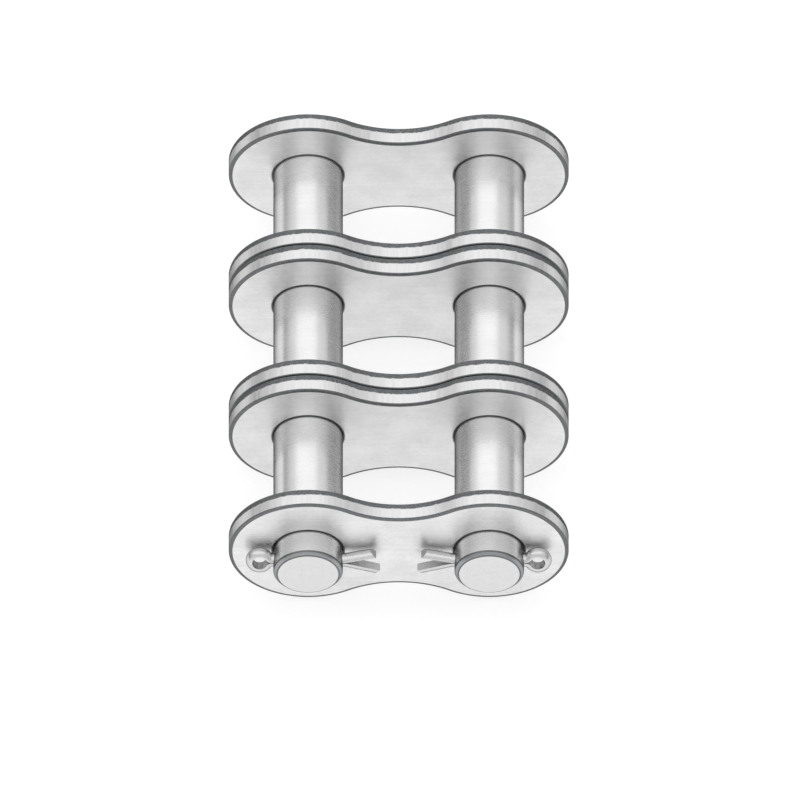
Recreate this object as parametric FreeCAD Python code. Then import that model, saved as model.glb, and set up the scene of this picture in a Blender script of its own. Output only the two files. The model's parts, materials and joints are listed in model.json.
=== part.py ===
import FreeCAD, Part
import math
import os

# Connecting link of a triplex roller chain, with three rows between its plates.
# X runs along the chain. The pins lie along Y, with their split pins at the -Y end. +Z is up.
# The origin lies midway between the pin axes, at half the length of the pins.

# Driving dimensions of the link, in millimetres
pitch = 38.1                # from one pin axis to the other
pin_diameter = 14.63
row_gap = 25.8              # clear width of each chain row between its plates
pair_gap = 0.1              # between the two intermediate plates of a pair
slide_clearance = 0.05      # all round a pin in the bores of the loose plates

# Driving dimensions of a plate
plate_height = 33.4         # across a round end
waist_height = 22.9         # across the hollow waist
plate_thickness = 4.0

# Driving dimensions of a pin
nose_chamfer = 0.8
nose_wall = 2.2             # steel between the cross hole and the front end
rivet_height = 1.7
rivet_spread = 0.8          # how far the riveted head stands out past the pin, all round
rivet_taper = 1.1           # how much narrower the head is at its end, all round

# Driving dimensions of a split pin
cross_hole_diameter = 3.2
wire_clearance = 0.15       # all round the closed legs in the cross hole
leg_gap = 0.1               # between the flat sides of the closed legs
eye_radius = 1.5            # inside the eye, at the flat side of the wire
neck_radius = 1.8           # where the eye closes towards the legs, at the flat side
eye_standoff = 0.15         # from the pin to the end of the neck
cover_clearance = 0.3       # from the cover plate to the nearest wire
split_pin_tilt = 20.0       # degrees that the plane of the split pin leans towards the cover
bend_radius = 4.0           # where a leg is bent open, at the flat side
leg_length = 6.2            # straight run of the upper leg after its bend
leg_excess = 0.7            # how much longer the lower leg is
upper_leg_splay = 11.0      # degrees
lower_leg_splay = 14.0
leg_bevel = 1.0             # how much longer the flat side is at the cut end
wire_flats = 5              # flats that make up the round side of the wire

# Sizes that follow from them
pin_radius = pin_diameter / 2
half_pitch = pitch / 2
cross_hole_radius = cross_hole_diameter / 2
wire_radius = cross_hole_radius - wire_clearance - leg_gap / 2
tilt = math.radians(split_pin_tilt)
upper_splay = math.radians(upper_leg_splay)
bend_rise = bend_radius * (1 - math.cos(upper_splay))
upper_leg_rise = leg_gap / 2 + bend_rise + leg_length * math.sin(upper_splay)
cross_hole_setback = cover_clearance + wire_radius + max(eye_radius, upper_leg_rise) * math.sin(tilt)
pin_projection = cross_hole_setback + cross_hole_radius + nose_wall
pin_length = rivet_height + 6 * plate_thickness + 3 * row_gap + 2 * pair_gap + pin_projection

# Places along Y, from the back of the link to its front
pin_back = pin_length / 2
pin_front = -pin_length / 2
fixed_plate_back = pin_back - rivet_height
fixed_plate_front = fixed_plate_back - plate_thickness
row_step = row_gap + plate_thickness
pair_step = pair_gap + plate_thickness
intermediate_fronts = [
    fixed_plate_front - row_step,
    fixed_plate_front - row_step - pair_step,
    fixed_plate_front - 2 * row_step - pair_step,
    fixed_plate_front - 2 * row_step - 2 * pair_step,
]
cover_plate_front = intermediate_fronts[-1] - row_step
cross_hole_y = cover_plate_front - cross_hole_setback

Vector = FreeCAD.Vector
along_pins = Vector(0, 1, 0)


def plate_outline(y):
    # Two round ends about the pin axes, joined by hollow waists that touch them smoothly
    end_radius = plate_height / 2
    half_waist = waist_height / 2
    waist_radius = (half_pitch ** 2 + half_waist ** 2 - end_radius ** 2) / (2 * (end_radius - half_waist))
    share = end_radius / (end_radius + waist_radius)
    touch_x = half_pitch * (1 - share)
    touch_z = (half_waist + waist_radius) * share
    end_x = half_pitch + end_radius

    def arc(start, middle, end):
        return Part.Arc(*[Vector(x, y, z) for x, z in (start, middle, end)]).toShape()

    return Part.Wire([
        arc((touch_x, touch_z), (end_x, 0), (touch_x, -touch_z)),
        arc((touch_x, -touch_z), (0, -half_waist), (-touch_x, -touch_z)),
        arc((-touch_x, -touch_z), (-end_x, 0), (-touch_x, touch_z)),
        arc((-touch_x, touch_z), (0, half_waist), (touch_x, touch_z)),
    ])


def plate(front, clearance):
    # A blanked plate with a bore for each pin
    body = Part.Face(plate_outline(front)).extrude(along_pins * plate_thickness)
    for side in (-1, 1):
        mouth = Vector(side * half_pitch, front, 0)
        body = body.cut(Part.makeCylinder(pin_radius + clearance, plate_thickness, mouth, along_pins))
    return body


def pin(side):
    # A turned pin: chamfered nose, plain shank, cross hole, and a tapered riveted head on the fixed plate
    def at(radius, y):
        return Vector(side * half_pitch + radius, y, 0)

    head_radius = pin_radius + rivet_spread
    profile = Part.makePolygon([
        at(0, pin_front),
        at(pin_radius - nose_chamfer, pin_front),
        at(pin_radius, pin_front + nose_chamfer),
        at(pin_radius, fixed_plate_back),
        at(head_radius, fixed_plate_back),
        at(head_radius - rivet_taper, pin_back),
        at(0, pin_back),
        at(0, pin_front),
    ])
    turned = Part.Face(profile).revolve(at(0, 0), along_pins, 360)
    hole_start = at(-pin_radius, cross_hole_y)
    hole = Part.makeCylinder(cross_hole_radius, pin_diameter, hole_start, Vector(1, 0, 0))
    return turned.cut(hole)


def wire_section(place, heading):
    # The half-round section of the wire: its flat side passes through place, its round side faces left
    left = Vector(-math.sin(heading), 0, math.cos(heading))
    angles = [math.pi * step / wire_flats for step in range(wire_flats + 1)]
    spokes = [along_pins * math.cos(angle) + left * math.sin(angle) for angle in angles]
    corners = [place + spoke * wire_radius for spoke in spokes]
    return Part.Face(Part.makePolygon(corners + corners[:1]))


def split_pin_half(leg_run, splay_degrees):
    # Half of a split pin in the XZ plane, from the far side of its eye to the cut end of its leg.
    # Each stretch of the wire starts where the last one ended, and X is 0 on the axis of the pin.
    splay = math.radians(splay_degrees)
    neck_turn = math.asin((neck_radius + leg_gap / 2) / (eye_radius + neck_radius))
    neck_end = -pin_radius - eye_standoff
    eye_x = neck_end - (eye_radius + neck_radius) * math.cos(neck_turn)
    place = Vector(eye_x - eye_radius, 0, 0)
    heading = math.pi / 2
    stretches = []
    turns = [
        (eye_radius, neck_turn - math.pi),
        (neck_radius, math.pi / 2 - neck_turn),
        (pin_diameter + 2 * eye_standoff, 0),
        (bend_radius, splay),
        (leg_run, 0),
    ]
    for size, turn in turns:
        section = wire_section(place, heading)
        forward = Vector(math.cos(heading), 0, math.sin(heading))
        if turn == 0:
            stretches.append(section.extrude(forward * size))
            place = place + forward * size
            continue
        side = math.copysign(1, turn)
        centre = place + Vector(-math.sin(heading), 0, math.cos(heading)) * side * size
        stretches.append(section.revolve(centre, along_pins * -side, math.degrees(abs(turn))))
        heading += turn
        place = centre + Vector(math.sin(heading), 0, -math.cos(heading)) * side * size
    wire = stretches[0].fuse(stretches[1:])

    # The cut end slopes back from the flat side to the round side
    cutter = Part.makeBox(4 * leg_bevel, 4 * wire_radius, 4 * wire_radius)
    cutter.translate(Vector(0, -2 * wire_radius, -wire_radius))
    cutter.rotate(Vector(0, 0, 0), along_pins, -math.degrees(heading + math.atan(leg_bevel / wire_radius)))
    cutter.translate(place)
    return wire.cut(cutter)


def split_pin(side):
    # Two half-round legs from one bent wire, leaning towards the cover plate by its tilt
    upper = split_pin_half(leg_length, upper_leg_splay)
    lower = split_pin_half(leg_length + leg_excess, lower_leg_splay).mirror(Vector(0, 0, 0), Vector(0, 0, 1))
    wire = upper.fuse(lower).removeSplitter()
    wire.rotate(Vector(0, 0, 0), Vector(1, 0, 0), -split_pin_tilt)
    wire.translate(Vector(-half_pitch, cross_hole_y, 0))
    if side > 0:
        wire = wire.mirror(Vector(0, 0, 0), Vector(1, 0, 0))
    return wire


pieces = {
    "fixed_outer_plate": plate(fixed_plate_front, 0),
    "left_pin": pin(-1),
    "right_pin": pin(1),
    "cover_plate": plate(cover_plate_front, slide_clearance),
    "left_split_pin": split_pin(-1),
    "right_split_pin": split_pin(1),
}
for number, front in enumerate(intermediate_fronts, 1):
    pieces[f"intermediate_plate_{number}"] = plate(front, slide_clearance)

os.makedirs("parts", exist_ok=True)
for name, shape in pieces.items():
    solids = shape.Solids
    print(name, len(solids), shape.isValid(), round(shape.Volume, 2))
    solids[0].exportStep(f"parts/{name}.step")
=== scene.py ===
import bmesh
import bpy
import json
import math
from mathutils import Matrix, Vector


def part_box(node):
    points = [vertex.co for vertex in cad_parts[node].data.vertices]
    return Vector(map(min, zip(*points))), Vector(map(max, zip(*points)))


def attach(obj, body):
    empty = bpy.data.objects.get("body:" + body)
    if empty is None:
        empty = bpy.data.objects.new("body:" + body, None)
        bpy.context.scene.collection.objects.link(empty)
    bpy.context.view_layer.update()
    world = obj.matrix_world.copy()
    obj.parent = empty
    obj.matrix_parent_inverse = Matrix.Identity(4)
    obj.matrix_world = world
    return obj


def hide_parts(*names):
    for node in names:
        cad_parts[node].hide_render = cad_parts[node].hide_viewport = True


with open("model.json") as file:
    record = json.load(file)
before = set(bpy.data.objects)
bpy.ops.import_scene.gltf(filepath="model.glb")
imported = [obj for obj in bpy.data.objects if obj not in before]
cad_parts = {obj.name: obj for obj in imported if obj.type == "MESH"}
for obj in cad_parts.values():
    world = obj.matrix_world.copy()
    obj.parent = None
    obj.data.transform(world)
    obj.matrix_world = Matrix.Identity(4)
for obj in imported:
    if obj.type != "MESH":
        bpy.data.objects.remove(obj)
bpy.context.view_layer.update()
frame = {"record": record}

mm = 0.001
alongPins = Vector((0, 1, 0))
near = 0.01 * mm                # what lies closer than this is in place
mergeDistance = 0.001 * mm

# Sizes that the pieces share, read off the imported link
plateLow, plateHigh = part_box("fixed_outer_plate")
pinLow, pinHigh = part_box("left_pin")
endRadius = (plateHigh.z - plateLow.z) / 2      # of the plates' round ends
halfPitch = plateHigh.x - endRadius
pinMount = next(mount for mount in frame["record"]["mounts"] if mount["name"] == "rear_row_left_pin")
pinRadius = pinMount["dims"]["r_mm"] * mm
print("link loaded: pitch", round(2 * halfPitch / mm, 2), "mm")


# Node helpers

def addNode(tree, kind, inputs=None, **settings):
    node = tree.nodes.new("ShaderNode" + kind)
    for name, value in settings.items():
        setattr(node, name, value)
    for name, value in (inputs or {}).items():
        if isinstance(value, bpy.types.NodeSocket):
            tree.links.new(value, node.inputs[name])
        else:
            node.inputs[name].default_value = value
    return node


def maths(tree, operation, first, second=0.0):
    return addNode(tree, "Math", {0: first, 1: second}, operation=operation).outputs[0]


def addUp(tree, parts):
    # parts are pairs of a socket and its share
    total = None
    for value, share in parts:
        part = maths(tree, "MULTIPLY", value, share)
        total = maths(tree, "ADD", total, part) if total else part
    return total


def spread(tree, value, low, high, toLow=0.0, toHigh=1.0, smooth=False):
    kind = "SMOOTHSTEP" if smooth else "LINEAR"
    inputs = {"Value": value, "From Min": low, "From Max": high, "To Min": toLow, "To Max": toHigh}
    return addNode(tree, "MapRange", inputs, interpolation_type=kind).outputs["Result"]


def grey(value, coolness=0.0):
    return (value * (1 - coolness), value, value * (1 + coolness), 1)


def mixColours(tree, share, first, second):
    # Sockets 6 and 7 of a Mix node are its two colours, and output 2 is the colour between them
    return addNode(tree, "Mix", {0: share, 6: first, 7: second}, data_type="RGBA").outputs[2]


def noise(tree, coords, scale, detail):
    # scale is in features per metre, one number or one each for X, Y and Z
    if isinstance(scale, tuple):
        coords = addNode(tree, "Mapping", {"Vector": coords, "Scale": scale}).outputs["Vector"]
        scale = 1.0
    inputs = {"Vector": coords, "Scale": scale, "Detail": detail, "Roughness": 0.55}
    return addNode(tree, "TexNoise", inputs).outputs["Fac"]


def bands(tree, place, scale, detail):
    # Noise along one measure, such as the distance from an axis
    inputs = {"W": place, "Scale": scale, "Detail": detail}
    return addNode(tree, "TexNoise", inputs, noise_dimensions="1D").outputs["Fac"]


def betweenTones(tree, value, tones, coolness=0.0, window=(0.35, 0.65)):
    # From the first grey to the second while a noise runs through the window
    first, second = tones
    return mixColours(tree, spread(tree, value, *window), grey(first, coolness), grey(second, coolness))


def between(tree, value, limits):
    # From the first limit to the second while a noise runs through its usual range
    return spread(tree, value, 0.3, 0.7, *limits)


def fromAttribute(tree, name):
    return addNode(tree, "Attribute", attribute_name=name).outputs["Fac"]


def axisDistance(tree, coords):
    # Distance from the nearer pin axis
    parts = addNode(tree, "SeparateXYZ", {0: coords})
    aside = maths(tree, "SUBTRACT", maths(tree, "ABSOLUTE", parts.outputs["X"]), halfPitch)
    flat = addNode(tree, "CombineXYZ", {"X": aside, "Z": parts.outputs["Z"]})
    return addNode(tree, "VectorMath", {0: flat.outputs[0]}, operation="LENGTH").outputs["Value"]


def steel(name, edgeTint=0.5):
    material = bpy.data.materials.new(name)
    material.use_nodes = True
    tree = material.node_tree
    tree.nodes.clear()
    shader = addNode(tree, "BsdfPrincipled", {"Metallic": 1.0, "Specular Tint": grey(edgeTint)})
    addNode(tree, "OutputMaterial", {"Surface": shader.outputs[0]})
    coords = addNode(tree, "TexCoord").outputs["Object"]
    return material, tree, shader, coords


def finishSteel(tree, shader, colour, roughness, bumps):
    # bumps are pairs of a height socket and its depth in metres
    tree.links.new(colour, shader.inputs["Base Color"])
    tree.links.new(roughness, shader.inputs["Roughness"])
    normal = None
    for height, depth in bumps:
        inputs = {"Height": height, "Distance": depth, "Strength": 1.0}
        if normal:
            inputs["Normal"] = normal
        normal = addNode(tree, "Bump", inputs).outputs["Normal"]
    tree.links.new(normal, shader.inputs["Normal"])


def plainSteel(name, look):
    # A finish whose tone, roughness and bump all follow one noise
    material, tree, shader, coords = steel(name)
    grain = noise(tree, coords, *look["grain"])
    colour = betweenTones(tree, grain, look["tones"], look.get("coolness", 0.0))
    roughness = between(tree, grain, look["roughness"])
    finishSteel(tree, shader, colour, roughness, [(grain, look["grainDepth"])])
    return material


# Finishes of the plates. In every look, tones and roughness are the two ends of a range, and a noise is
# its scale and its detail.

darkTint = 0.02     # the painted dark edges, the broken band and the chamfers lean a little to blue

plateLook = {
    "tones": (0.78, 0.90),
    "toneWindow": (0.40, 0.60),
    "roughness": (0.34, 0.46),
    "patches": (170, 2),
    "patchShare": 0.4,
    "mottle": (1300, 4),
    "mottleShare": 0.35,
    "mottleDepth": 0.030 * mm,
    "grain": ((110, 110, 2400), 4),
    "grainShare": 0.25,
    "grainDepth": 0.0012 * mm,
    "hairlines": ((110, 300, 3800), 2),
    "hairlineWindow": (0.66, 0.80),
    "hairlineShine": 0.12,      # how much smoother a hairline is
    "oilAndGapShade": (0.30 * mm, 0.55 * mm),     # where the dark ring round each pin fades out: an oil film, with painted shade in the gap at the pin
    "oilAndGapShadeTone": 0.22,
}


def plateFaceSteel():
    # Rolled strip, tumbled after blanking: faint grain and hairlines along X, soft mottling
    look = plateLook
    material, tree, shader, coords = steel("plateFaceSteel")
    patches = noise(tree, coords, *look["patches"])
    mottle = noise(tree, coords, *look["mottle"])
    grain = noise(tree, coords, *look["grain"])
    shares = [(patches, look["patchShare"]), (mottle, look["mottleShare"]), (grain, look["grainShare"])]
    tone = addUp(tree, shares)
    colour = betweenTones(tree, tone, look["tones"], window=look["toneWindow"])
    # A dark ring round each pin: an oil film, with painted shade in the gap where the pin enters the plate
    oilAndGapShadeStart, oilAndGapShadeEnd = look["oilAndGapShade"]
    away = axisDistance(tree, coords)
    oilAndGapShade = spread(tree, away, pinRadius + oilAndGapShadeStart, pinRadius + oilAndGapShadeEnd, 1, 0, smooth=True)
    colour = mixColours(tree, oilAndGapShade, colour, grey(look["oilAndGapShadeTone"]))
    hairlines = spread(tree, noise(tree, coords, *look["hairlines"]), *look["hairlineWindow"])
    shine = maths(tree, "MULTIPLY", hairlines, look["hairlineShine"])
    roughness = maths(tree, "SUBTRACT", between(tree, mottle, look["roughness"]), shine)
    finishSteel(tree, shader, colour, roughness, [(grain, look["grainDepth"]), (mottle, look["mottleDepth"])])
    return material


rimLook = {
    "burnished": (0.70, 0.80),
    "broken": (0.14, 0.24),
    "breakLine": (0.64, 0.70),      # where the burnished band gives way, as a share of the thickness
    "wander": (-0.03, 0.03),        # how far each of two noises moves that line
    "roughness": (0.28, 0.38),
    "brokenRoughness": 0.25,        # added in the broken band
    "edgeTint": 0.1,
    "lines": ((1500, 45, 1500), 3),
    "lineDepth": 0.006 * mm,
    "waves": ((260, 20, 260), 3),
    "grain": (3200, 4),
    "grainDepth": 0.03 * mm,
}


def plateRimSteel():
    # Blanked edge: a burnished band with shear lines along Y, then a dull fracture band at the back
    look = rimLook
    material, tree, shader, coords = steel("plateRimSteel", look["edgeTint"])
    # Each plate reads the noise from another place, so no two are torn alike
    shift = addNode(tree, "CombineXYZ", {"X": fromAttribute(tree, "shift")}).outputs[0]
    coords = addNode(tree, "VectorMath", {0: coords, 1: shift}, operation="ADD").outputs["Vector"]
    lines = noise(tree, coords, *look["lines"])
    waves = noise(tree, coords, *look["waves"])
    grain = noise(tree, coords, *look["grain"])
    edge = maths(tree, "ADD", fromAttribute(tree, "depth"), between(tree, waves, look["wander"]))
    edge = maths(tree, "ADD", edge, between(tree, lines, look["wander"]))
    torn = spread(tree, edge, *look["breakLine"], smooth=True)
    burnished = betweenTones(tree, lines, look["burnished"])
    broken = betweenTones(tree, grain, look["broken"], darkTint)
    colour = mixColours(tree, torn, burnished, broken)
    rough = maths(tree, "MULTIPLY", torn, look["brokenRoughness"])
    roughness = maths(tree, "ADD", between(tree, lines, look["roughness"]), rough)
    tornGrain = maths(tree, "MULTIPLY", grain, torn)
    bumps = [(lines, look["lineDepth"]), (tornGrain, look["grainDepth"])]
    finishSteel(tree, shader, colour, roughness, bumps)
    return material


# Rounded edges, with painted shade: their steel is darkened so that they read as dark lines
shadedEdgeLook = {
    "tones": (0.15, 0.21),
    "coolness": darkTint,
    "roughness": (0.34, 0.46),
    "grain": (2200, 3),
    "grainDepth": 0.006 * mm,
}

# Punched and drilled walls, with fine rings round the bore
boreLook = {
    "tones": (0.34, 0.46),
    "roughness": (0.40, 0.52),
    "grain": ((200, 2500, 200), 2),
    "grainDepth": 0.006 * mm,
}

plateFinishes = {
    "face": plateFaceSteel(),
    "rim": plateRimSteel(),
    # the rounded edges, darkened as painted shade
    "edge": plainSteel("shadedEdgeSteel", shadedEdgeLook),
    "bore": plainSteel("boreSteel", boreLook),
}


# Finishes of the pins

pinLook = {
    "tones": (0.79, 0.84),
    "roughness": (0.22, 0.32),
    "edgeTint": 0.05,
    "patches": (160, 2),
    "rings": ((60, 3400, 60), 5),
    "ringDepth": 0.0015 * mm,
}


def pinSteel():
    # Hardened and centreless ground: very fine rings round the pin
    look = pinLook
    material, tree, shader, coords = steel("pinSteel", look["edgeTint"])
    rings = noise(tree, coords, *look["rings"])
    colour = betweenTones(tree, noise(tree, coords, *look["patches"]), look["tones"])
    finishSteel(tree, shader, colour, between(tree, rings, look["roughness"]), [(rings, look["ringDepth"])])
    return material


pinEndLook = {
    "tones": (0.72, 0.80),
    "roughness": (0.32, 0.42),
    "circles": (3600, 3),
    "circleShare": 0.5,
    "circleDepth": 0.0025 * mm,
    "mottle": (900, 3),
    "mottleDepth": 0.004 * mm,
}


def pinEndSteel():
    # Turned end faces of nose and riveted head: marks in circles about the pin's axis
    look = pinEndLook
    material, tree, shader, coords = steel("pinEndSteel")
    circles = bands(tree, axisDistance(tree, coords), *look["circles"])
    mottle = noise(tree, coords, *look["mottle"])
    tone = addUp(tree, [(circles, look["circleShare"]), (mottle, 1 - look["circleShare"])])
    colour = betweenTones(tree, tone, look["tones"])
    bumps = [(circles, look["circleDepth"]), (mottle, look["mottleDepth"])]
    finishSteel(tree, shader, colour, between(tree, mottle, look["roughness"]), bumps)
    return material


# Turned before hardening and never ground, so it stays darker than the shank
chamferLook = {
    "tones": (0.34, 0.44),
    "coolness": darkTint,
    "roughness": (0.32, 0.42),
    "grain": ((80, 3000, 80), 3),
    "grainDepth": 0.004 * mm,
}

pinFinishes = {
    "shank": pinSteel(),
    "end": pinEndSteel(),
    "bore": plateFinishes["bore"],
    "chamfer": plainSteel("chamferSteel", chamferLook),
    # the nose's roundings, darkened as painted shade like the plates' edges
    "edge": plateFinishes["edge"],
}


# Finishes of the split pins

wireLook = {
    "tones": (0.61, 0.73),
    "roughness": (0.24, 0.36),
    "edgeTint": 0.05,
    "lines": (9, 4),
    "lineShare": 0.5,
    "lineDepth": 0.006 * mm,
    "spangle": (1600, 3),
    "spangleDepth": 0.004 * mm,
}


def wireSteel():
    # Drawn half-round wire with bright zinc: lines along the wire, one for each place round its section
    look = wireLook
    material, tree, shader, coords = steel("wireSteel", look["edgeTint"])
    lines = bands(tree, fromAttribute(tree, "around"), *look["lines"])
    spangle = noise(tree, coords, *look["spangle"])
    tone = addUp(tree, [(lines, look["lineShare"]), (spangle, 1 - look["lineShare"])])
    colour = betweenTones(tree, tone, look["tones"])
    bumps = [(lines, look["lineDepth"]), (spangle, look["spangleDepth"])]
    finishSteel(tree, shader, colour, between(tree, spangle, look["roughness"]), bumps)
    return material


# Sheared ends of the wire
cutLook = {
    "tones": (0.42, 0.56),
    "roughness": (0.40, 0.55),
    "grain": (4200, 3),
    "grainDepth": 0.02 * mm,
}

wireFinishes = {"wire": wireSteel(), "cut": plainSteel("cutSteel", cutLook)}
print("finishes made")


# Mesh helpers

def slotOf(finishes, name):
    return list(finishes).index(name)


def addPiece(name, bm, finishes):
    mesh = bpy.data.meshes.new(name)
    bm.to_mesh(mesh)
    bm.free()
    for finish in finishes:
        mesh.materials.append(finish)
    piece = bpy.data.objects.new(name, mesh)
    bpy.context.scene.collection.objects.link(piece)
    return piece


def shadeSmooth(piece, sharpAngle):
    # Smooth shading that stays flat on the large faces and breaks at sharp edges
    piece.data.shade_smooth()
    piece.data.set_sharp_from_angle(angle=math.radians(sharpAngle))
    weights = piece.modifiers.new("evenShading", "WEIGHTED_NORMAL")
    weights.keep_sharp = True


def handOver(piece, body, node):
    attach(piece, body)
    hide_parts(node)


def vertsIn(geom):
    return [item for item in geom if isinstance(item, bmesh.types.BMVert)]


def spinOn(bm, geom, centre, axis, angle, steps):
    return bmesh.ops.spin(bm, geom=geom, cent=centre, axis=axis, angle=angle, steps=steps)["geom_last"]


def roundCorners(bm, corners, size, segments):
    bmesh.ops.bevel(bm, geom=corners, offset=size, segments=segments, profile=0.5, affect="VERTICES",
                    material=-1)


def roundEdges(bm, edges, size, segments, slot):
    made = bmesh.ops.bevel(bm, geom=edges, offset=size, segments=segments, profile=0.5, affect="EDGES",
                           clamp_overlap=True, material=-1)
    for face in made["faces"]:
        face.material_index = slot


def fromPinAxis(point):
    return math.hypot(abs(point.x) - halfPitch, point.z)


# Plates: a figure-of-eight outline round two bores, bridged, thickened and rounded at its edges

plateShape = {
    "waistHeight": 22.9 * mm,
    "clearance": 0.05 * mm,     # round a pin in a loose plate
    "frontRounding": 0.80 * mm,     # across the face
    "backRounding": 0.50 * mm,
    "boreRounding": 0.35 * mm,
    "frontSegments": 5,
    "backSegments": 4,
    "boreSegments": 3,
    "roundingRatio": 2.3,       # how much wider a rounding is than it is deep
    "border": 0.15 * mm,        # flat strip kept beside the front rounding
    "endSteps": 128,            # points round an end
    "waistSteps": 16,           # from an end to the middle of a waist
    "middleSteps": 12,          # down the middle line, too few for the border to fold over
    "cornerAngle": 1.0,         # in radians, an edge that turns more is a corner
    "shiftRatio": 10,           # how far apart two plates read their noise, for each metre between them
    "shadingAngle": 60,         # in degrees, an edge that turns more stays sharp
}


def halfOutline(bm, y):
    # From the middle of the top waist, round the right end, and back up the middle line
    halfWaist = plateShape["waistHeight"] / 2
    waistRadius = (halfPitch ** 2 + halfWaist ** 2 - endRadius ** 2) / (2 * (endRadius - halfWaist))
    waistTurn = math.asin(halfPitch / (endRadius + waistRadius))
    endTurn = math.pi + 2 * waistTurn
    start = bmesh.ops.create_vert(bm, co=(0, y, halfWaist))["vert"]
    top = (0, y, halfWaist + waistRadius)
    bottom = (0, y, -halfWaist - waistRadius)
    last = spinOn(bm, start, top, -alongPins, waistTurn, plateShape["waistSteps"])
    last = spinOn(bm, last, (halfPitch, y, 0), alongPins, endTurn, plateShape["endSteps"])
    last = spinOn(bm, last, bottom, -alongPins, waistTurn, plateShape["waistSteps"])
    middle = bm.edges.new((vertsIn(last)[0], start[0]))
    bmesh.ops.subdivide_edges(bm, edges=[middle], cuts=plateShape["middleSteps"] - 1)


def plate(name, body):
    low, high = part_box(name)
    thickness = high.y - low.y
    ratio = plateShape["roundingRatio"]
    boreRadius = pinRadius + (0 if name == "fixed_outer_plate" else plateShape["clearance"])
    bm = bmesh.new()
    halfOutline(bm, low.y)
    turned = Matrix.Translation((halfPitch, low.y, 0)) @ Matrix.Rotation(math.pi / 2, 4, "X")
    bmesh.ops.create_circle(bm, segments=len(bm.verts), radius=boreRadius, matrix=turned)
    bmesh.ops.bridge_loops(bm, edges=bm.edges[:])
    bmesh.ops.mirror(bm, geom=bm.verts[:] + bm.edges[:] + bm.faces[:], axis="X", merge_dist=mergeDistance)
    bmesh.ops.remove_doubles(bm, verts=bm.verts[:], dist=mergeDistance)
    # A narrow border keeps the faces flat right up to their rounded edges
    border = plateShape["frontRounding"] + plateShape["border"]
    bmesh.ops.inset_region(bm, faces=bm.faces[:], thickness=border, use_even_offset=True, use_boundary=True)
    depth = bm.verts.layers.float.new("depth")
    made = bmesh.ops.extrude_face_region(bm, geom=bm.faces[:], use_keep_orig=True)
    back = vertsIn(made["geom"])
    # Thickened too far and pressed back once its edges are round, which leaves them wide and shallow
    bmesh.ops.translate(bm, verts=back, vec=alongPins * thickness * ratio)
    for vert in back:
        vert[depth] = 1
    bmesh.ops.recalc_face_normals(bm, faces=bm.faces[:])

    def cornerEdges(y, isBore):
        found = []
        for edge in bm.edges:
            middle = (edge.verts[0].co + edge.verts[1].co) / 2
            atY = all(abs(vert.co.y - y) < near for vert in edge.verts)
            atBore = fromPinAxis(middle) < boreRadius + near
            if atY and atBore == isBore and edge.calc_face_angle(0) > plateShape["cornerAngle"]:
                found.append(edge)
        return found

    for face in bm.faces:
        isWall = abs(face.normal.y) < 0.5
        if isWall:
            atBore = fromPinAxis(face.calc_center_median()) < boreRadius + near
            face.material_index = slotOf(plateFinishes, "bore" if atBore else "rim")
    backY = low.y + thickness * ratio
    # The rounded edges take the finish that is darkened as painted shade
    shadedEdgeSlot = slotOf(plateFinishes, "edge")
    for y, isBore, part in (
        (low.y, False, "front"),
        (backY, False, "back"),
        (low.y, True, "bore"),
        (backY, True, "bore"),
    ):
        size = plateShape[part + "Rounding"]
        roundEdges(bm, cornerEdges(y, isBore), size, plateShape[part + "Segments"], shadedEdgeSlot)
    onFront = Matrix.Translation((0, -low.y, 0))
    bmesh.ops.scale(bm, verts=bm.verts[:], vec=(1, 1 / ratio, 1), space=onFront)
    shift = bm.verts.layers.float.new("shift")
    for vert in bm.verts:
        vert[shift] = low.y * plateShape["shiftRatio"]
    piece = addPiece(name + "_finished", bm, plateFinishes.values())
    shadeSmooth(piece, plateShape["shadingAngle"])
    handOver(piece, body, name)


plate("fixed_outer_plate", "pin_link")
for number in (1, 2, 3, 4):
    plate(f"intermediate_plate_{number}", f"plate_{number}")
plate("cover_plate", "cover")
print("plates made")


# Pins: a turned profile spun about the pin's axis, then cross-drilled

pinShape = {
    "noseChamfer": 0.8 * mm,
    "noseRounding": 0.22 * mm,
    "headRadius": 8.115 * mm,
    "headEndRadius": 6.6 * mm,
    "headRim": 0.55 * mm,       # height of the head's straight rim
    "headRounding": 0.5 * mm,
    "roundingSegments": 5,
    "noseWall": 2.2 * mm,       # steel between the nose and the cross hole
    "holeRadius": 1.6 * mm,
    "flareDepth": 0.25 * mm,    # under the pin's surface, where the hole starts to flare
    "drillPast": 0.5 * mm,      # how far the drill sticks out of the pin
    "drillFlare": 0.8 * mm,     # how much wider it is at its ends
    "drillSteps": 48,
    "steps": 192,
    "shadingAngle": 40,
    "slopeMargin": 0.02,        # how far a face's slope may be from the one that it is known by
}
crossHoleY = pinLow.y + pinShape["noseWall"] + pinShape["holeRadius"]


def turnedProfile(bm, corners, rounded, steps, centre, axis):
    # corners are joined in turn, some of them rounded, and spun into a closed solid
    verts = [bmesh.ops.create_vert(bm, co=corner)["vert"][0] for corner in corners]
    for first, second in zip(verts, verts[1:]):
        bm.edges.new((first, second))
    for index, size in rounded:
        roundCorners(bm, [verts[index]], size, pinShape["roundingSegments"])
    bmesh.ops.spin(bm, geom=bm.verts[:] + bm.edges[:], cent=centre, axis=axis, angle=2 * math.pi, steps=steps,
                   use_merge=True)
    bmesh.ops.remove_doubles(bm, verts=bm.verts[:], dist=mergeDistance)
    bmesh.ops.recalc_face_normals(bm, faces=bm.faces[:])


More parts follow.
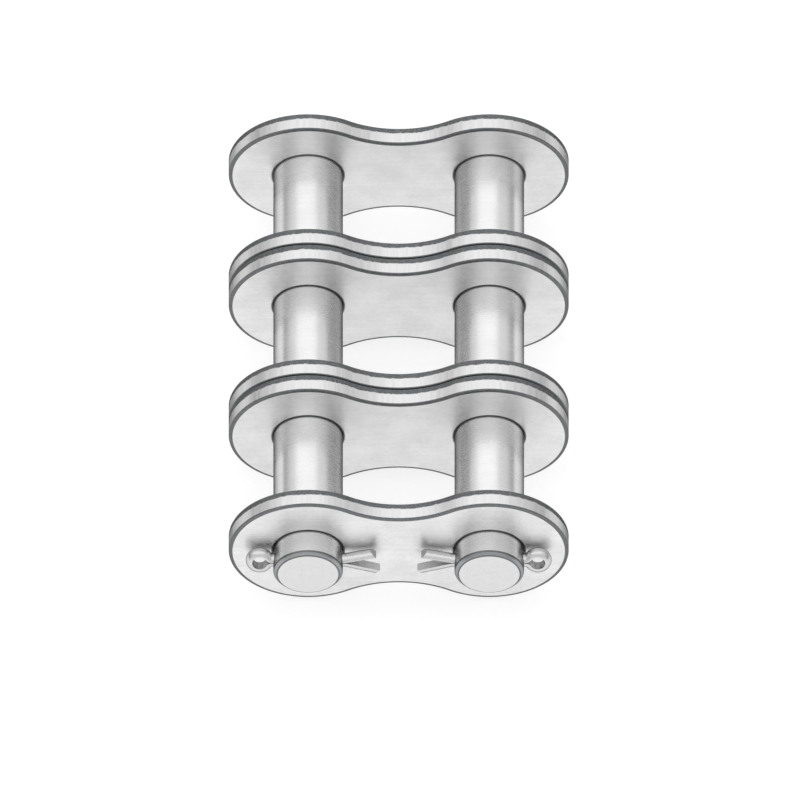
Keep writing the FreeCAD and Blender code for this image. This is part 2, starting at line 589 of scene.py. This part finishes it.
def holeCutter(side):
    # The drill, flaring where it breaks out of the pin
    bm = bmesh.new()
    radius = pinShape["holeRadius"]
    wide = radius + pinShape["drillFlare"]
    reach = pinRadius + pinShape["drillPast"]
    flare = pinRadius - pinShape["flareDepth"]
    profile = [(-reach, 0), (-reach, wide), (-flare, radius), (flare, radius), (reach, wide), (reach, 0)]
    corners = [(side * halfPitch + x, crossHoleY, away) for x, away in profile]
    turnedProfile(bm, corners, [], pinShape["drillSteps"], (side * halfPitch, crossHoleY, 0), (1, 0, 0))
    for face in bm.faces:
        face.material_index = slotOf(pinFinishes, "bore")
    return addPiece("drill", bm, pinFinishes.values())


def drill(piece, cutter):
    cut = piece.modifiers.new("crossHole", "BOOLEAN")
    cut.operation = "DIFFERENCE"
    cut.solver = "EXACT"
    cut.object = cutter
    drilled = bpy.data.meshes.new_from_object(piece.evaluated_get(bpy.context.evaluated_depsgraph_get()))
    piece.modifiers.clear()
    plain = piece.data
    piece.data = drilled
    bpy.data.meshes.remove(plain)
    bpy.data.objects.remove(cutter)


def pin(name, side):
    centre = side * halfPitch
    front = pinLow.y
    chamfer = pinShape["noseChamfer"]
    plateBack = plateHigh.y
    headRadius = pinShape["headRadius"]
    profile = [
        (0, front),
        (pinRadius - chamfer, front),
        (pinRadius, front + chamfer),
        (pinRadius, plateBack),
        (headRadius, plateBack),
        (headRadius, plateBack + pinShape["headRim"]),
        (pinShape["headEndRadius"], pinHigh.y),
        (0, pinHigh.y),
    ]
    bm = bmesh.new()
    corners = [(centre + away, y, 0) for away, y in profile]
    noseRounding = pinShape["noseRounding"]
    headRounding = pinShape["headRounding"]
    rounded = [(1, noseRounding), (2, noseRounding), (5, headRounding), (6, headRounding)]
    turnedProfile(bm, corners, rounded, pinShape["steps"], (centre, 0, 0), alongPins)
    margin = pinShape["slopeMargin"]
    for face in bm.faces:
        y = face.calc_center_median().y
        slope = abs(face.normal.y)
        finish = "shank"
        if slope > 1 - margin:
            finish = "end"
        elif y > plateBack:
            finish = "chamfer"
        elif y < front + 2 * chamfer and slope > margin:
            # Roundings beside the chamfer take the edge finish, darkened as painted shade
            onChamfer = abs(slope - math.sin(math.pi / 4)) < margin
            finish = "chamfer" if onChamfer else "edge"
        face.material_index = slotOf(pinFinishes, finish)
    piece = addPiece(name + "_finished", bm, pinFinishes.values())
    drill(piece, holeCutter(side))
    shadeSmooth(piece, pinShape["shadingAngle"])
    handOver(piece, "pin_link", name)


pin("left_pin", -1)
pin("right_pin", 1)
print("pins made")


# Split pins: a half-round section swept along the bent wire, one half at a time

wireShape = {
    "radius": 1.4 * mm,
    "cornerRounding": 0.12 * mm,
    "cornerSegments": 4,
    "legGap": 0.1 * mm,         # between the flat sides of the closed legs
    "eyeRadius": 1.5 * mm,      # inside the eye
    "neckRadius": 1.8 * mm,
    "standoff": 0.15 * mm,      # from the pin to the end of the neck
    "bendRadius": 4.0 * mm,
    "legs": ((1, 6.2 * mm, 11), (-1, 6.9 * mm, 14)),    # side, straight run and splay in degrees
    "legBevel": 1.0 * mm,
    "tilt": 20,                 # degrees that the split pin leans towards the cover
    "sectionSteps": 28,
    "stepAngle": 4,             # degrees of bend for each ring of points
    "cutMargin": 0.0001 * mm,   # points this near the sheared end lie on it
    "shadingAngle": 50,
}


def halfRound(bm, place, around):
    # The half-round section at the far side of the eye, its flat side on place
    before = set(bm.verts)
    radius = wireShape["radius"]
    start = bmesh.ops.create_vert(bm, co=place + alongPins * radius)["vert"]
    spinOn(bm, start, place, (0, 0, 1), math.pi, wireShape["sectionSteps"])
    verts = [vert for vert in bm.verts if vert not in before]
    ends = [vert for vert in verts if len(vert.link_edges) == 1]
    bm.edges.new(ends)
    edges = [edge for edge in bm.edges if edge.verts[0] not in before]
    bmesh.ops.contextual_create(bm, geom=edges)
    roundCorners(bm, ends, wireShape["cornerRounding"], wireShape["cornerSegments"])
    face = next(face for face in bm.faces if all(vert not in before for vert in face.verts))
    for vert in face.verts:
        offset = vert.co - place
        vert[around] = math.atan2(-offset.x, offset.y)
    return [face] + list(face.edges) + list(face.verts)


def sweepHalf(bm, around, half, legRun, splay):
    # half is 1 for the upper half and -1 for the lower one, which is its mirror image
    eyeRadius = wireShape["eyeRadius"]
    neckRadius = wireShape["neckRadius"]
    legGap = wireShape["legGap"]
    neckTurn = math.asin((neckRadius + legGap / 2) / (eyeRadius + neckRadius))
    eyeX = -pinRadius - wireShape["standoff"] - (eyeRadius + neckRadius) * math.cos(neckTurn)
    place = Vector((eyeX - eyeRadius, 0, 0))
    heading = math.pi / 2
    before = set(bm.verts)
    ring = halfRound(bm, place, around)
    startFace = ring[0]
    stretches = [
        (eyeRadius, neckTurn - math.pi),
        (neckRadius, math.pi / 2 - neckTurn),
        (2 * (pinRadius + wireShape["standoff"]), 0),
        (wireShape["bendRadius"], math.radians(splay)),
        (legRun, 0),
    ]
    for size, turn in stretches:
        if turn == 0:
            ring = bmesh.ops.extrude_face_region(bm, geom=ring)["geom"]
            forward = Vector((math.cos(heading), 0, half * math.sin(heading))) * size
            bmesh.ops.translate(bm, verts=vertsIn(ring), vec=forward)
            place = place + forward
            continue
        side = math.copysign(1, turn)
        left = Vector((-math.sin(heading), 0, half * math.cos(heading)))
        centre = place + left * side * size
        steps = math.ceil(abs(math.degrees(turn)) / wireShape["stepAngle"])
        ring = spinOn(bm, ring, centre, alongPins * -side * half, abs(turn), steps)
        heading += turn
        left = Vector((-math.sin(heading), 0, half * math.cos(heading)))
        place = centre - left * side * size

    # The sheared end slopes back from the flat side to the round side
    slope = heading + math.atan(wireShape["legBevel"] / wireShape["radius"])
    outward = Vector((math.cos(slope), 0, half * math.sin(slope)))
    verts = [vert for vert in bm.verts if vert not in before]
    edges = [edge for edge in bm.edges if edge.verts[0] not in before]
    faces = [face for face in bm.faces if face.verts[0] not in before]
    cut = bmesh.ops.bisect_plane(bm, geom=verts + edges + faces, dist=wireShape["cutMargin"], plane_co=place,
                                 plane_no=outward, clear_outer=True)["geom_cut"]
    rim = [item for item in cut if isinstance(item, bmesh.types.BMEdge)]
    for face in bmesh.ops.contextual_create(bm, geom=rim)["faces"]:
        face.material_index = slotOf(wireFinishes, "cut")
    bmesh.ops.delete(bm, geom=[startFace], context="FACES")


def splitPin(name, side):
    bm = bmesh.new()
    around = bm.verts.layers.float.new("around")
    for half, legRun, splay in wireShape["legs"]:
        sweepHalf(bm, around, half, legRun, splay)
    bmesh.ops.remove_doubles(bm, verts=bm.verts[:], dist=mergeDistance)
    lean = Matrix.Rotation(math.radians(-wireShape["tilt"]), 4, "X")
    bmesh.ops.transform(bm, verts=bm.verts[:], matrix=Matrix.Translation((-halfPitch, crossHoleY, 0)) @ lean)
    if side > 0:
        bmesh.ops.scale(bm, verts=bm.verts[:], vec=(-1, 1, 1))
    bmesh.ops.recalc_face_normals(bm, faces=bm.faces[:])
    piece = addPiece(name + "_finished", bm, wireFinishes.values())
    shadeSmooth(piece, wireShape["shadingAngle"])
    handOver(piece, "pin_link", name)


splitPin("left_split_pin", -1)
splitPin("right_split_pin", 1)
print("split pins made")


# Floor, light and camera

studio = {
    "floorSize": 6.0,
    "floorColour": 0.35,
    "floorContrast": 0.02,
    "floorTooth": (900, 3),     # noise of the paper
    "floorGlow": 0.75,          # added where the floor is seen, also in the steel
    "sky": 0.78,
    "horizon": (0.05, 0.25),    # heights between which the white round the horizon fades out
    "screen": 0.22,             # the darker left and right of the room
    "screenSide": (0.58, 0.90),     # how far aside the screens set in
    "screenTop": (0.10, 0.55),      # heights between which they fade out
    "lampPlace": (-0.10, 0.05, 0.90),
    "lampSize": 1.8,
    "lampPower": 3.2,
}


def seenRays(tree, path):
    # Rays of the camera, and those that show the surroundings in metal or glass
    seen = maths(tree, "MAXIMUM", path.outputs["Is Camera Ray"], path.outputs["Is Glossy Ray"])
    return maths(tree, "MAXIMUM", seen, path.outputs["Is Transmission Ray"])


def floor():
    bm = bmesh.new()
    bmesh.ops.create_grid(bm, x_segments=1, y_segments=1, size=studio["floorSize"] / 2)
    bmesh.ops.translate(bm, verts=bm.verts[:], vec=(0, 0, plateLow.z))
    material = bpy.data.materials.new("palePaper")
    material.use_nodes = True
    tree = material.node_tree
    tree.nodes.clear()
    tooth = noise(tree, addNode(tree, "TexCoord").outputs["Object"], *studio["floorTooth"])
    darker = studio["floorColour"]
    colour = mixColours(tree, tooth, grey(darker), grey(darker + studio["floorContrast"]))
    paper = addNode(tree, "BsdfDiffuse", {"Color": colour})
    seen = seenRays(tree, addNode(tree, "LightPath"))
    strength = maths(tree, "MULTIPLY", seen, studio["floorGlow"])
    glow = addNode(tree, "Emission", {"Color": grey(1), "Strength": strength})
    both = addNode(tree, "AddShader", {0: paper.outputs[0], 1: glow.outputs[0]})
    addNode(tree, "OutputMaterial", {"Surface": both.outputs[0]})
    addPiece("floor", bm, [material])


def room():
    # White round the horizon, pale above, and darker screens far left and right for the steel to mirror
    world = bpy.data.worlds.new("room")
    bpy.context.scene.world = world
    world.use_nodes = True
    tree = world.node_tree
    tree.nodes.clear()
    way = addNode(tree, "SeparateXYZ", {0: addNode(tree, "TexCoord").outputs["Generated"]})
    path = addNode(tree, "LightPath")
    horizon = spread(tree, way.outputs["Z"], *studio["horizon"], 1, 0, smooth=True)
    white = maths(tree, "MULTIPLY", horizon, seenRays(tree, path))
    colour = mixColours(tree, white, grey(studio["sky"]), grey(1))
    aside = spread(tree, maths(tree, "ABSOLUTE", way.outputs["X"]), *studio["screenSide"], smooth=True)
    low = spread(tree, way.outputs["Z"], *studio["screenTop"], 1, 0, smooth=True)
    notCamera = maths(tree, "SUBTRACT", 1.0, path.outputs["Is Camera Ray"])
    screen = maths(tree, "MULTIPLY", maths(tree, "MULTIPLY", aside, low), notCamera)
    colour = mixColours(tree, screen, colour, grey(studio["screen"]))
    background = addNode(tree, "Background", {"Color": colour, "Strength": 1.0})
    addNode(tree, "OutputWorld", {"Surface": background.outputs[0]})


def lamp():
    data = bpy.data.lights.new("overhead", "AREA")
    data.shape = "DISK"
    data.size = studio["lampSize"]
    data.energy = studio["lampPower"]
    light = bpy.data.objects.new("overhead", data)
    light.location = studio["lampPlace"]
    light.rotation_euler = (-light.location).to_track_quat("-Z", "Y").to_euler()
    bpy.context.scene.collection.objects.link(light)


floor()
room()
lamp()

# The drawing is an orthographic view from above the front of the link
photoView = {
    "elevation": 54.0,
    "imagePixels": 800,
    "pixelSize": 0.21021 * mm,
    "originPixel": (398.7, 364.1),      # where the link's origin lies in the picture
    "distance": 0.6,                    # from the camera to the link's origin
}


def addCamera():
    data = bpy.data.cameras.new("camera")
    data.type = "ORTHO"
    data.ortho_scale = photoView["imagePixels"] * photoView["pixelSize"]
    camera = bpy.data.objects.new("camera", data)
    elevation = math.radians(photoView["elevation"])
    back = Vector((0, -math.cos(elevation), math.sin(elevation)))
    up = Vector((0, math.sin(elevation), math.cos(elevation)))
    middle = photoView["imagePixels"] / 2
    right = (middle - photoView["originPixel"][0]) * photoView["pixelSize"]
    down = (middle - photoView["originPixel"][1]) * photoView["pixelSize"]
    camera.location = Vector((right, 0, 0)) - up * down + back * photoView["distance"]
    camera.rotation_euler = (math.pi / 2 - elevation, 0, 0)
    bpy.context.scene.collection.objects.link(camera)
    bpy.context.scene.camera = camera


addCamera()
bpy.context.scene.view_settings.view_transform = "Standard"
print("studio made")
